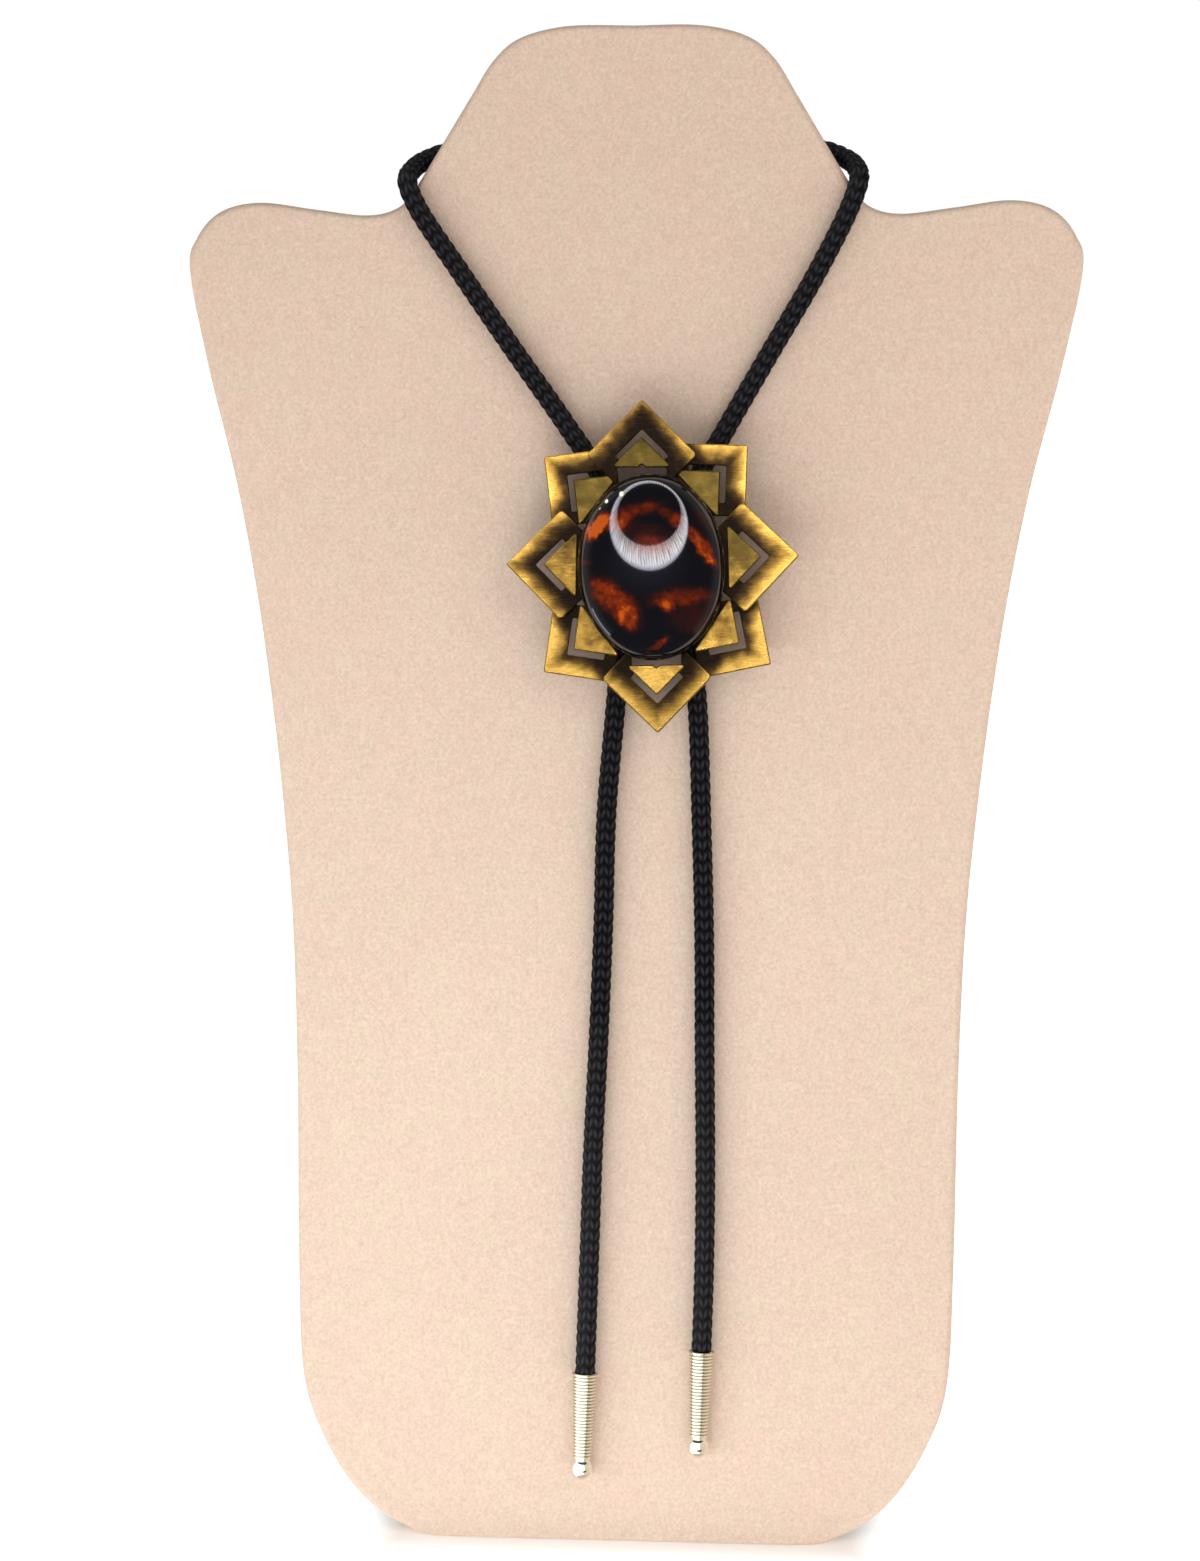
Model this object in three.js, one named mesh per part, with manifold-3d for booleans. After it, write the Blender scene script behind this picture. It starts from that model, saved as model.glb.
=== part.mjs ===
// Bolo tie on a neck display stand.
// A round braided cord hangs round the neck of a flat bust-shaped display board, runs through the
// clip of a star-shaped slide and ends in two ridged metal tips.
// Millimetres, +Z up. The board leans back and its velour face looks along -Y.

import * as THREE from 'three';
import { mergeVertices } from 'three/addons/utils/BufferGeometryUtils.js';
import Module from 'manifold-3d';

const wasm = await Module();
wasm.setup();

// General clearances
const GAP = 0.3;
const EDGE_BREAK = 0.15;

// Display board, back panel and leg
const BOARD_HEIGHT = 323;
const BOARD_WIDTH = 190;
const BOARD_THICKNESS = 4.5;
const BOARD_EDGE_ROUND = 1.4;
const PANEL_THICKNESS = 1.5;
const LEAN = THREE.MathUtils.degToRad(12);
const FOOT_TRIM = 0.4;
const LEG_THICKNESS = 2.5;
const LEG_WIDTH = 52;
const LEG_HINGE_HEIGHT = 190;
const LEG_TAB = 34;
const LEG_REACH = 88;

// Cord and tips
const CORD_DIAMETER = 4.3;
const CORD_SIDES = 8;
const CORD_STEPS_PER_POINT = 2;
const TIP_MOUTH_DIAMETER = 5;
const TIP_END_DIAMETER = 3.5;
const TIP_RIDGED_LENGTH = 18.2;
const TIP_RIDGES = 26;
const TIP_RIDGE_DEPTH = 0.14;
const TIP_BALL_DIAMETER = 4.3;
const TIP_SEGMENTS = 16;

// Slide: place and turn on the board
const SLIDE_ACROSS = 5.5;
const SLIDE_HEIGHT = 207.5;
const SLIDE_TURN = THREE.MathUtils.degToRad(2.7);

// Slide: star plates
const PLATE = 1;
const RAISE = 0.7;
const PETAL_SIDE = 16.4;
const REAR_PETAL_SIDE = 15;
const BAND = 4.4;
const SLOT_WIDTH = 1.9;
const SLOT_LENGTH = 7.8;
const TRIANGLE_INSET = 5.6;
const TRIANGLE_LEG = 9;
const TRIANGLE_SINK = 0.2;
const BASE_NOTCH_WIDTH = 1.6;
const BASE_NOTCH_DEPTH = 0.7;
const WINDOW_WIDTH = 10.4;
const WINDOW_DEPTH = 3;
const TALL_REACH = 34.8;
const WIDE_REACH = 30.6;
const WIDE_RISE = 1.4;
const UPPER_CORNER = { x: 21.3, y: 24.4, angle: 41.6 };
const LOWER_CORNER = { x: 23.6, y: -21.4, angle: -34.9 };
const HUB_MARGIN = 0.6;
const BOSS_SEMI_X = 6;
const BOSS_SEMI_Y = 8;

// Slide: bezel cup and stone
const CUP_SEMI_X = 15.1;
const CUP_SEMI_Y = 19.4;
const CUP_WALL = 0.45;
const CUP_FLOOR = 0.8;
const CUP_HEIGHT = 3.4;
const STONE_GIRDLE = 2.4;
const STONE_RISE = 6.6;
const OVAL_SEGMENTS = 56;

// Slide: clip for the cord
const CLIP_LENGTH = 13;
const CLIP_SPACING = 15;
const CLIP_WALL = 0.9;
const CLIP_CLEARANCE = 0.4;
const CLIP_SEGMENTS = 20;
const CLIP_MOUTH = THREE.MathUtils.degToRad(64);

// Levels above the board's face
const CORD_RADIUS = CORD_DIAMETER / 2;
const CHANNEL_RADIUS = CORD_RADIUS + CLIP_CLEARANCE;
const CHANNEL_OUTER = CHANNEL_RADIUS + CLIP_WALL;
const CHANNEL_LEVEL = GAP + CHANNEL_OUTER;
const REAR_STAR_LEVEL = CHANNEL_LEVEL + CHANNEL_OUTER + GAP;
const FRONT_STAR_LEVEL = REAR_STAR_LEVEL + PLATE + RAISE + GAP;
const CUP_LEVEL = FRONT_STAR_LEVEL + PLATE + GAP;
const STONE_LEVEL = CUP_LEVEL + CUP_FLOOR + GAP;

// Right half of the board's outline, from the top centre down to the foot, as shares of half the
// width and of the height.
const HALF_OUTLINE = [
  [0, 1], [0.147, 1], [0.253, 0.9926], [0.314, 0.978], [0.366, 0.9536], [0.438, 0.9183],
  [0.493, 0.8923], [0.532, 0.8805], [0.6, 0.8762], [0.716, 0.8802], [0.842, 0.8848],
  [0.932, 0.8786], [0.985, 0.8613], [1, 0.839], [0.955, 0.774], [0.891, 0.6997],
  [0.842, 0.6254], [0.805, 0.5511], [0.776, 0.4768], [0.755, 0.4025], [0.743, 0.3034],
  [0.737, 0.1858], [0.725, 0.1084], [0.679, 0.0666], [0.6, 0.0303], [0.5, 0.0087],
  [0.379, 0], [0, 0],
];
const OUTLINE_STEPS = 3;

// Route of the cord's centre from the left tip to the right one: across, up the board, and out
// from its face. It leaves each tip, passes through the clip and goes round the neck's edges.
const CORD_ROUTE = [
  [-7.8, 36.7, 2.8], [-7.15, 60, 2.8], [-6.5, 84, 2.8], [-5.5, 108, 2.8], [-4.7, 132, 2.8],
  [-4.2, 156, 2.8], [-2.5, 178, 3], [-1.5, 191, 3.7], [-1.66, 200, 3.85], [-2.36, 215, 3.85],
  [-5.6, 226, 3.5], [-13.3, 237.8, 2.6], [-25, 254.2, 2.5], [-36.5, 270.7, 2.5],
  [-45.6, 284.2, 2.6],
  [-47.9, 289.9, 1.2], [-47.2, 293.2, -3.2], [-45, 295.7, -7.3], [-39.5, 298, -9.3],
  [-22, 299.8, -9.3], [0, 300.4, -9.3], [22, 299.8, -9.3],
  [39.5, 298, -9.3], [45, 295.7, -7.3], [47.2, 293.2, -3.2], [47.9, 289.9, 1.2],
  [45.9, 283.6, 2.6],
  [38.6, 269, 2.5], [29.7, 253.6, 2.5], [20, 236.6, 2.6], [14.3, 226, 3.5],
  [12.65, 215, 3.85], [13.36, 200, 3.85], [13.9, 190, 3.7], [15, 177, 3], [15.9, 155, 2.8],
  [16.7, 131, 2.8], [17, 107, 2.8], [17.4, 80, 2.8], [17.3, 58, 2.8], [16.9, 41.9, 2.8],
].map(([across, up, out]) => new THREE.Vector3(across, up, out));

const VELOUR = new THREE.Color(0xddc3af);
const CARD = new THREE.Color(0x2a2725);
const CORD_BLACK = new THREE.Color(0x141416);
const NICKEL = new THREE.Color(0xd9d5c8);
const BRASS = new THREE.Color(0xb08a3c);
const DARK_BRASS = new THREE.Color(0x5a4728);
const TORTOISESHELL = new THREE.Color(0x2a0f0a);

// A named mesh with a material of its own.
function makePiece(name, geometry, color, roughness, metalness) {
  const material = new THREE.MeshStandardMaterial({ color, roughness, metalness });
  const mesh = new THREE.Mesh(geometry, material);
  mesh.name = name;
  return mesh;
}

// Closed solid of a geometry, for joining and cutting.
function toSolid(geometry) {
  const bare = geometry.clone();
  bare.deleteAttribute('normal');
  bare.deleteAttribute('uv');
  const merged = mergeVertices(bare, 1e-4);
  return new wasm.Manifold(new wasm.Mesh({
    numProp: 3,
    vertProperties: new Float32Array(merged.attributes.position.array),
    triVerts: new Uint32Array(merged.index.array),
  }));
}

// Geometry of a joined or cut solid.
function toGeometry(solid) {
  const mesh = solid.getMesh();
  const geometry = new THREE.BufferGeometry();
  geometry.setAttribute('position', new THREE.BufferAttribute(mesh.vertProperties, 3));
  geometry.setIndex(new THREE.BufferAttribute(mesh.triVerts, 1));
  geometry.computeVertexNormals();
  return geometry;
}

// Flat plate with lightly broken edges, its underside at the given level.
function makePlate(shape, thickness, level) {
  const plate = new THREE.ExtrudeGeometry(shape, {
    depth: thickness - 2 * EDGE_BREAK,
    bevelThickness: EDGE_BREAK,
    bevelSize: EDGE_BREAK,
    bevelOffset: -EDGE_BREAK,
    bevelSegments: 1,
  });
  return plate.translate(0, 0, level + EDGE_BREAK);
}

// Outline shared by the velour board and the panel behind it.
function boardOutline() {
  const half = HALF_OUTLINE.map(
    ([across, up]) => new THREE.Vector2(across * BOARD_WIDTH / 2, up * BOARD_HEIGHT),
  );
  const right = new THREE.SplineCurve(half).getPoints((half.length - 1) * OUTLINE_STEPS);
  const left = right.slice(1, -1).reverse().map((point) => new THREE.Vector2(-point.x, point.y));
  return new THREE.Shape([...right, ...left].reverse());
}

// Cuts a leaning plate level with the table, so that it stands on a flat foot.
function trimFoot(geometry) {
  const floor = new THREE.BoxGeometry(2 * BOARD_WIDTH, BOARD_HEIGHT, BOARD_HEIGHT);
  floor.translate(0, -BOARD_HEIGHT / 2, 0).rotateX(LEAN).translate(0, FOOT_TRIM, 0);
  return toGeometry(toSolid(geometry).subtract(toSolid(floor)));
}

function makeBoard() {
  const face = new THREE.ExtrudeGeometry(boardOutline(), {
    depth: BOARD_THICKNESS - 2 * BOARD_EDGE_ROUND,
    bevelThickness: BOARD_EDGE_ROUND,
    bevelSize: BOARD_EDGE_ROUND,
    bevelOffset: -BOARD_EDGE_ROUND,
    bevelSegments: 2,
  });
  face.translate(0, 0, BOARD_EDGE_ROUND - BOARD_THICKNESS);
  return makePiece('display_board', trimFoot(face), VELOUR, 0.95, 0);
}

function makeBackPanel() {
  const panel = new THREE.ExtrudeGeometry(boardOutline(), {
    depth: PANEL_THICKNESS,
    bevelEnabled: false,
  });
  panel.translate(0, 0, -BOARD_THICKNESS - GAP - PANEL_THICKNESS);
  return makePiece('back_panel', trimFoot(panel), CARD, 0.85, 0);
}

// Point in the leaning frame, as (out, up), of a place on the table that far behind the foot.
function onTable(behind) {
  const drop = FOOT_TRIM * Math.cos(LEAN);
  return new THREE.Vector2(
    -behind * Math.cos(LEAN) + drop * Math.sin(LEAN),
    behind * Math.sin(LEAN) + drop * Math.cos(LEAN),
  );
}

// Bent leg: a tab flat against the panel and a strut down to the table.
function makeLeg() {
  const face = -BOARD_THICKNESS - PANEL_THICKNESS - 2 * GAP;
  const hinge = new THREE.Vector2(face, LEG_HINGE_HEIGHT);
  const toe = onTable(LEG_REACH);
  const strut = toe.clone().sub(hinge).normalize();
  const spread = Math.atan2(-strut.x, -strut.y);
  const heel = onTable(LEG_REACH + LEG_THICKNESS / Math.cos(spread - LEAN));
  const shape = new THREE.Shape([
    new THREE.Vector2(face, LEG_HINGE_HEIGHT + LEG_TAB),
    new THREE.Vector2(face - LEG_THICKNESS, LEG_HINGE_HEIGHT + LEG_TAB),
    new THREE.Vector2(
      face - LEG_THICKNESS,
      LEG_HINGE_HEIGHT + LEG_THICKNESS * Math.tan(spread / 2),
    ),
    heel,
    toe,
    hinge,
  ]);
  const leg = new THREE.ExtrudeGeometry(shape, { depth: LEG_WIDTH, bevelEnabled: false });
  leg.rotateY(-Math.PI / 2).translate(LEG_WIDTH / 2, 0, 0);
  return makePiece('easel_leg', leg, CARD, 0.85, 0);
}

// Cord route whose steps are shared evenly among its points, so that bends get short steps.
class CordCurve extends THREE.CatmullRomCurve3 {
  getPointAt(share, target) {
    return this.getPoint(share, target);
  }

  getTangentAt(share, target) {
    return this.getTangent(share, target);
  }
}

function makeCord() {
  const corners = [];
  for (let side = 0; side < CORD_SIDES; side += 1) {
    const angle = 2 * Math.PI * (side + 0.5) / CORD_SIDES;
    corners.push(new THREE.Vector2(CORD_RADIUS * Math.cos(angle), CORD_RADIUS * Math.sin(angle)));
  }
  const tube = new THREE.ExtrudeGeometry(new THREE.Shape(corners), {
    steps: (CORD_ROUTE.length - 1) * CORD_STEPS_PER_POINT,
    extrudePath: new CordCurve(CORD_ROUTE, false, 'centripetal'),
  });
  return makePiece('cord', tube, CORD_BLACK, 0.9, 0);
}

// Ridged taper that ends in a ball, turned about the cord's end.
function makeTip(name, end, before) {
  const profile = [new THREE.Vector2(0, 0)];
  const mouth = TIP_MOUTH_DIAMETER / 2;
  const narrow = TIP_END_DIAMETER / 2;
  const pitch = TIP_RIDGED_LENGTH / TIP_RIDGES;
  const radiusAt = (depth) => mouth + (narrow - mouth) * depth / TIP_RIDGED_LENGTH;
  for (let ridge = 0; ridge < TIP_RIDGES; ridge += 1) {
    const crest = ridge * pitch;
    profile.push(new THREE.Vector2(radiusAt(crest), -crest));
    const valley = crest + pitch / 2;
    profile.push(new THREE.Vector2(radiusAt(valley) - TIP_RIDGE_DEPTH, -valley));
  }
  const ball = TIP_BALL_DIAMETER / 2;
  const neck = Math.asin(narrow / ball * 0.8);
  const centre = TIP_RIDGED_LENGTH + ball * Math.cos(neck);
  for (let step = 0; step <= 8; step += 1) {
    const angle = neck + (Math.PI - neck) * step / 8;
    const radius = step === 8 ? 0 : ball * Math.sin(angle);
    profile.push(new THREE.Vector2(radius, -centre + ball * Math.cos(angle)));
  }
  const turned = new THREE.LatheGeometry(profile.reverse(), TIP_SEGMENTS);
  const tip = makePiece(name, turned, NICKEL, 0.25, 1);
  const upward = before.clone().sub(end).normalize();
  tip.quaternion.setFromUnitVectors(new THREE.Vector3(0, 1, 0), upward);
  tip.position.copy(end).addScaledVector(upward, -GAP);
  return tip;
}

// Point of a petal, given its distances from the two outer edges. The outer corner is the origin
// and points along +X.
function petalPoint(fromLeft, fromRight) {
  return new THREE.Vector2(
    -(fromLeft + fromRight) * Math.SQRT1_2,
    (fromRight - fromLeft) * Math.SQRT1_2,
  );
}

// Square petal with an L-shaped slot along its outer edges, and with a window behind the raised
// triangle where one is asked for.
function petalShape(side, windowed) {
  const shape = new THREE.Shape([
    petalPoint(0, 0), petalPoint(0, side), petalPoint(side, side), petalPoint(side, 0),
  ]);
  const inner = BAND + SLOT_WIDTH;
  const reach = BAND + SLOT_LENGTH;
  shape.holes.push(new THREE.Path([
    petalPoint(BAND, BAND), petalPoint(reach, BAND), petalPoint(reach, inner),
    petalPoint(inner, inner), petalPoint(inner, reach), petalPoint(BAND, reach),
  ]));
  if (windowed) {
    const base = triangleBase();
    const far = base - WINDOW_DEPTH;
    shape.holes.push(new THREE.Path([
      new THREE.Vector2(base, -WINDOW_WIDTH / 2), new THREE.Vector2(far, -WINDOW_WIDTH / 2),
      new THREE.Vector2(far, WINDOW_WIDTH / 2), new THREE.Vector2(base, WINDOW_WIDTH / 2),
      new THREE.Vector2(base + BASE_NOTCH_DEPTH, 0),
    ]));
  }
  return shape;
}

// Where a raised triangle's base lies along the petal.
function triangleBase() {
  return petalPoint(TRIANGLE_INSET + TRIANGLE_LEG, TRIANGLE_INSET).x;
}

function triangleShape(windowed) {
  const left = petalPoint(TRIANGLE_INSET, TRIANGLE_INSET + TRIANGLE_LEG);
  const right = petalPoint(TRIANGLE_INSET + TRIANGLE_LEG, TRIANGLE_INSET);
  const corners = [petalPoint(TRIANGLE_INSET, TRIANGLE_INSET), left];
  if (windowed) {
    corners.push(
      new THREE.Vector2(left.x, BASE_NOTCH_WIDTH / 2),
      new THREE.Vector2(left.x + BASE_NOTCH_DEPTH, 0),
      new THREE.Vector2(left.x, -BASE_NOTCH_WIDTH / 2),
    );
  }
  corners.push(right);
  return new THREE.Shape(corners);
}

// Oval plate in the middle of a star, hidden under the cup.
function ovalPlate(semiX, semiY, thickness, level) {
  const shape = new THREE.Shape();
  shape.absellipse(0, 0, semiX, semiY, 0, 2 * Math.PI);
  const plate = new THREE.ExtrudeGeometry(shape, {
    depth: thickness,
    bevelEnabled: false,
    curveSegments: OVAL_SEGMENTS,
  });
  return toSolid(plate.translate(0, 0, level));
}

// Star of petals round an oval hub, each petal with its raised triangle, as one solid.
function starSolid(petals, side, level) {
  let star = ovalPlate(CUP_SEMI_X - HUB_MARGIN, CUP_SEMI_Y - HUB_MARGIN, PLATE, level);
  for (const { x, y, angle, windowed } of petals) {
    const pieces = [
      makePlate(petalShape(side, windowed), PLATE, level),
      makePlate(
        triangleShape(windowed),
        RAISE + TRIANGLE_SINK,
        level + PLATE - TRIANGLE_SINK,
      ),
    ];
    for (const piece of pieces) {
      piece.rotateZ(THREE.MathUtils.degToRad(angle)).translate(x, y, 0);
    }
    const petal = toSolid(pieces[0]).add(toSolid(pieces[1]));
    star = star.add(petal);
  }
  if (petals.some((petal) => petal.windowed)) {
    star = star.subtract(windowCutter(level));
  }
  return star;
}

// Clears the hub where the windows of the tall petals pass through it.
function windowCutter(level) {
  const outer = TALL_REACH + triangleBase();
  const cutters = [1, -1].map((side) => {
    const box = new THREE.BoxGeometry(WINDOW_WIDTH, WINDOW_DEPTH, 3 * PLATE);
    box.translate(0, side * (outer - WINDOW_DEPTH / 2), level + PLATE / 2 - PLATE);
    return toSolid(box);
  });
  return cutters[0].add(cutters[1]);
}

function makeRearStar() {
  const petals = [];
  for (const corner of [UPPER_CORNER, LOWER_CORNER]) {
    petals.push({ x: corner.x, y: corner.y, angle: corner.angle });
    petals.push({ x: -corner.x, y: corner.y, angle: 180 - corner.angle });
  }
  const star = starSolid(petals, REAR_PETAL_SIDE, REAR_STAR_LEVEL);
  return makePiece('rear_star', toGeometry(star), BRASS, 0.4, 1);
}

// The front star stands on the rear one by a low oval boss.
function makeFrontStar() {
  const petals = [
    { x: 0, y: TALL_REACH, angle: 90, windowed: true },
    { x: 0, y: -TALL_REACH, angle: -90, windowed: true },
    { x: WIDE_REACH, y: WIDE_RISE, angle: 0 },
    { x: -WIDE_REACH, y: WIDE_RISE, angle: 180 },
  ];
  const foot = REAR_STAR_LEVEL + PLATE + GAP;
  const boss = ovalPlate(BOSS_SEMI_X, BOSS_SEMI_Y, FRONT_STAR_LEVEL + PLATE / 2 - foot, foot);
  const star = starSolid(petals, PETAL_SIDE, FRONT_STAR_LEVEL).add(boss);
  return makePiece('front_star', toGeometry(star), BRASS, 0.35, 1);
}

// Turned shape with an oval plan. The profile gives distances from the axis along X; the given
// function turns each into the distance along Y.
function ovalLathe(profile, alongY) {
  const geometry = new THREE.LatheGeometry(profile, OVAL_SEGMENTS);
  geometry.rotateX(Math.PI / 2);
  const places = geometry.attributes.position;
  for (let index = 0; index < places.count; index += 1) {
    const x = places.getX(index);
    const y = places.getY(index);
    const radius = Math.hypot(x, y);
    if (radius > 0) {
      places.setY(index, y * alongY(radius) / radius);
    }
  }
  return geometry;
}

function makeCup() {
  const inner = CUP_SEMI_X - CUP_WALL;
  const profile = [
    new THREE.Vector2(0, 0), new THREE.Vector2(CUP_SEMI_X, 0),
    new THREE.Vector2(CUP_SEMI_X, CUP_HEIGHT), new THREE.Vector2(inner, CUP_HEIGHT),
    new THREE.Vector2(inner, CUP_FLOOR), new THREE.Vector2(0, CUP_FLOOR),
  ];
  const cup = ovalLathe(profile, (radius) => radius + CUP_SEMI_Y - CUP_SEMI_X);
  cup.translate(0, 0, CUP_LEVEL);
  return makePiece('bezel_cup', cup, DARK_BRASS, 0.35, 1);
}

// High oval dome over a short straight girdle.
function makeStone() {
  const semiX = CUP_SEMI_X - CUP_WALL - GAP;
  const semiY = CUP_SEMI_Y - CUP_WALL - GAP;
  const profile = [new THREE.Vector2(0, 0)];
  const rings = 12;
  for (let ring = 0; ring <= rings; ring += 1) {
    const angle = Math.PI / 2 * ring / rings;
    const radius = ring === rings ? 0 : semiX * Math.cos(angle);
    profile.push(new THREE.Vector2(radius, STONE_GIRDLE + STONE_RISE * Math.sin(angle)));
  }
  profile.splice(1, 0, new THREE.Vector2(semiX, 0));
  const stone = ovalLathe(profile, (radius) => radius * semiY / semiX);
  stone.translate(0, 0, STONE_LEVEL);
  return makePiece('cabochon', stone, TORTOISESHELL, 0.08, 0);
}

// Plate on the back of the slide with two open channels, one for each run of the cord.
function makeClip() {
  const half = CLIP_MOUTH / 2;
  const start = -Math.PI / 2 + half;
  const finish = 3 * Math.PI / 2 - half;
  const channels = [-1, 1].map((side) => {
    const shape = new THREE.Shape();
    shape.absarc(0, 0, CHANNEL_OUTER, start, finish, false);
    shape.absarc(0, 0, CHANNEL_RADIUS, finish, start, true);
    const channel = new THREE.ExtrudeGeometry(shape, {
      depth: CLIP_LENGTH,
      bevelEnabled: false,
      curveSegments: CLIP_SEGMENTS,
    });
    channel.translate(0, 0, -CLIP_LENGTH / 2).rotateX(Math.PI / 2);
    channel.translate(side * CLIP_SPACING / 2, 0, CHANNEL_LEVEL);
    return toSolid(channel);
  });
  const plate = new THREE.BoxGeometry(CLIP_SPACING, CLIP_LENGTH, CLIP_WALL);
  plate.translate(0, 0, CHANNEL_LEVEL + CHANNEL_OUTER - CLIP_WALL / 2);
  const clip = channels[0].add(channels[1]).add(toSolid(plate));
  return makePiece('cord_clip', toGeometry(clip), DARK_BRASS, 0.4, 1);
}

const slide = new THREE.Group();
slide.add(makeClip(), makeRearStar(), makeFrontStar(), makeCup(), makeStone());
slide.position.set(SLIDE_ACROSS, SLIDE_HEIGHT, 0);
slide.rotation.z = SLIDE_TURN;

// The leaning frame: +X across, +Y up the board, +Z out from its velour face.
const leaning = new THREE.Group();
leaning.add(makeBoard(), makeBackPanel(), makeLeg(), slide);
leaning.rotation.x = Math.PI / 2 - LEAN;
leaning.position.z = -FOOT_TRIM * Math.cos(LEAN);

// The origin lies on the table under the middle of the stand and slide, the cord left out.
const boloTie = new THREE.Group();
boloTie.add(leaning);
boloTie.updateMatrixWorld(true);
const middle = new THREE.Box3().setFromObject(leaning, true).getCenter(new THREE.Vector3());
leaning.position.x = -middle.x;
leaning.position.y = -middle.y;

leaning.add(makeCord());
leaning.add(makeTip('left_tip', CORD_ROUTE[0], CORD_ROUTE[1]));
leaning.add(makeTip('right_tip', CORD_ROUTE.at(-1), CORD_ROUTE.at(-2)));

export default boloTie;
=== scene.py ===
"""Bolo tie on a neck display stand: the finish of every surface and the fine forms.

All shapes are worked out in the display's leaning frame, in millimetres: across to the right, up
the board, and out from its velour face. place() turns them into metres in the row's frame.
"""

import math

import bpy
import numpy as np
from mathutils import Matrix, Vector
from mathutils.geometry import tessellate_polygon


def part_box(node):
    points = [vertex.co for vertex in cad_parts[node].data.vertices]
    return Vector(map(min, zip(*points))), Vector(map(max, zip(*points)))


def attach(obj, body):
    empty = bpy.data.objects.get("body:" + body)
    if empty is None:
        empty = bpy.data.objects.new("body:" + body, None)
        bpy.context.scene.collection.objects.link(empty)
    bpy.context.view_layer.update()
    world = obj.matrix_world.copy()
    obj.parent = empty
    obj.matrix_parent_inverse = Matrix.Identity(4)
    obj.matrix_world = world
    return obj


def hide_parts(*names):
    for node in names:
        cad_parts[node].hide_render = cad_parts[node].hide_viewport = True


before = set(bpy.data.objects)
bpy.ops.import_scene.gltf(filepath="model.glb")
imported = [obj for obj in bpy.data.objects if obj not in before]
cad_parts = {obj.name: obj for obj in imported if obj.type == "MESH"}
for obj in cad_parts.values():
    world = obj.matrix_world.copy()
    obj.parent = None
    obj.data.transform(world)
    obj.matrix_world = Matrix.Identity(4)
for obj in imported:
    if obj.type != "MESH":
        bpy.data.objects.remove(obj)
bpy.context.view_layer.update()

# The leaning frame
MM = 0.001
LEAN = math.radians(12)
FOOT_TRIM = 0.4
HEEL_REACH = 90.56
UP = np.array([0, math.sin(LEAN), math.cos(LEAN)])
OUT = np.array([0, -math.cos(LEAN), math.sin(LEAN)])
ACROSS = np.array([1.0, 0, 0])
ORIGIN = np.array([
    0,
    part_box("easel_leg")[1][1] / MM - HEEL_REACH,
    -FOOT_TRIM * math.cos(LEAN),
])

# Board
BOARD_HEIGHT = 323
BOARD_WIDTH = 190
BOARD_THICKNESS = 4.5
BOARD_EDGE_ROUND = 1.4

# Cord and tips
CORD_DIAMETER = 4.3
GAP = 0.3
TIP_MOUTH_DIAMETER = 5.3
TIP_END_DIAMETER = 3.9
TIP_RIDGED_LENGTH = 18.2
TIP_RIDGES = 26
TIP_RIDGE_DEPTH = 0.2
TIP_BALL_DIAMETER = 4.75

# Slide
SLIDE_ACROSS = 5.5
SLIDE_HEIGHT = 207.5
SLIDE_TURN = math.radians(2.7)
CUP_SEMI_X = 15.42
CUP_SEMI_Y = 19.42
CUP_HEIGHT = 3.4
CUP_LEVEL = 11.0
STONE_LEVEL = 12.1
STONE_GIRDLE = 2.4
STONE_RISE = 6.6
STONE_SEMI_X = 15.05
STONE_SEMI_Y = 19.05
REAR_STAR_LEVEL = 7.5
FRONT_STAR_LEVEL = 9.5
PLATE = 1
RAISE = 0.7
BAND = 4.4
SLOT_WIDTH = 1.9
SLOT_LENGTH = 7.8
PETAL_SIDE = 16.4
REAR_PETAL_SIDE = 15
TRIANGLE_INSET = 5.6
TRIANGLE_LEG = 9
CLOSED_TRIANGLE_LEG = 10
WINDOW_WIDTH = 10.4
NOTCH_WIDTH = 1.6
NOTCH_DEPTH = 0.7
HUB_SEMI_AXES = (14.5, 18.8)
BOSS_SEMI_AXES = (6, 8)

# Petals: the outer corner's place, the way it points in degrees, and whether a window opens
# behind its triangle.
FRONT_PETALS = [(-0.8, 35.3, 87.6, True), (-0.2, -34.6, -91.2, True), (30.8, 1.3, -0.6, False),
                (-30.7, 2.1, 176.9, False)]
REAR_PETALS = [(20.9, 24.9, 40.9, False), (-22.0, 24.4, 139.5, False),
               (24.0, -21.1, -36.0, False), (-23.9, -20.8, 214.2, False)]

# Right half of the board's outline as shares of half the width and of the height.
HALF_OUTLINE = [
    (0, 1), (0.147, 1), (0.253, 0.9926), (0.314, 0.978), (0.366, 0.9536), (0.438, 0.9183),
    (0.493, 0.8923), (0.532, 0.8805), (0.6, 0.8762), (0.716, 0.8802), (0.842, 0.8848),
    (0.932, 0.8786), (0.985, 0.8613), (1, 0.839), (0.955, 0.774), (0.891, 0.6997),
    (0.842, 0.6254), (0.805, 0.5511), (0.776, 0.4768), (0.755, 0.4025), (0.743, 0.3034),
    (0.737, 0.1858), (0.725, 0.1084), (0.679, 0.0666), (0.6, 0.0303), (0.5, 0.0087),
    (0.379, 0), (0, 0),
]

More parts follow.
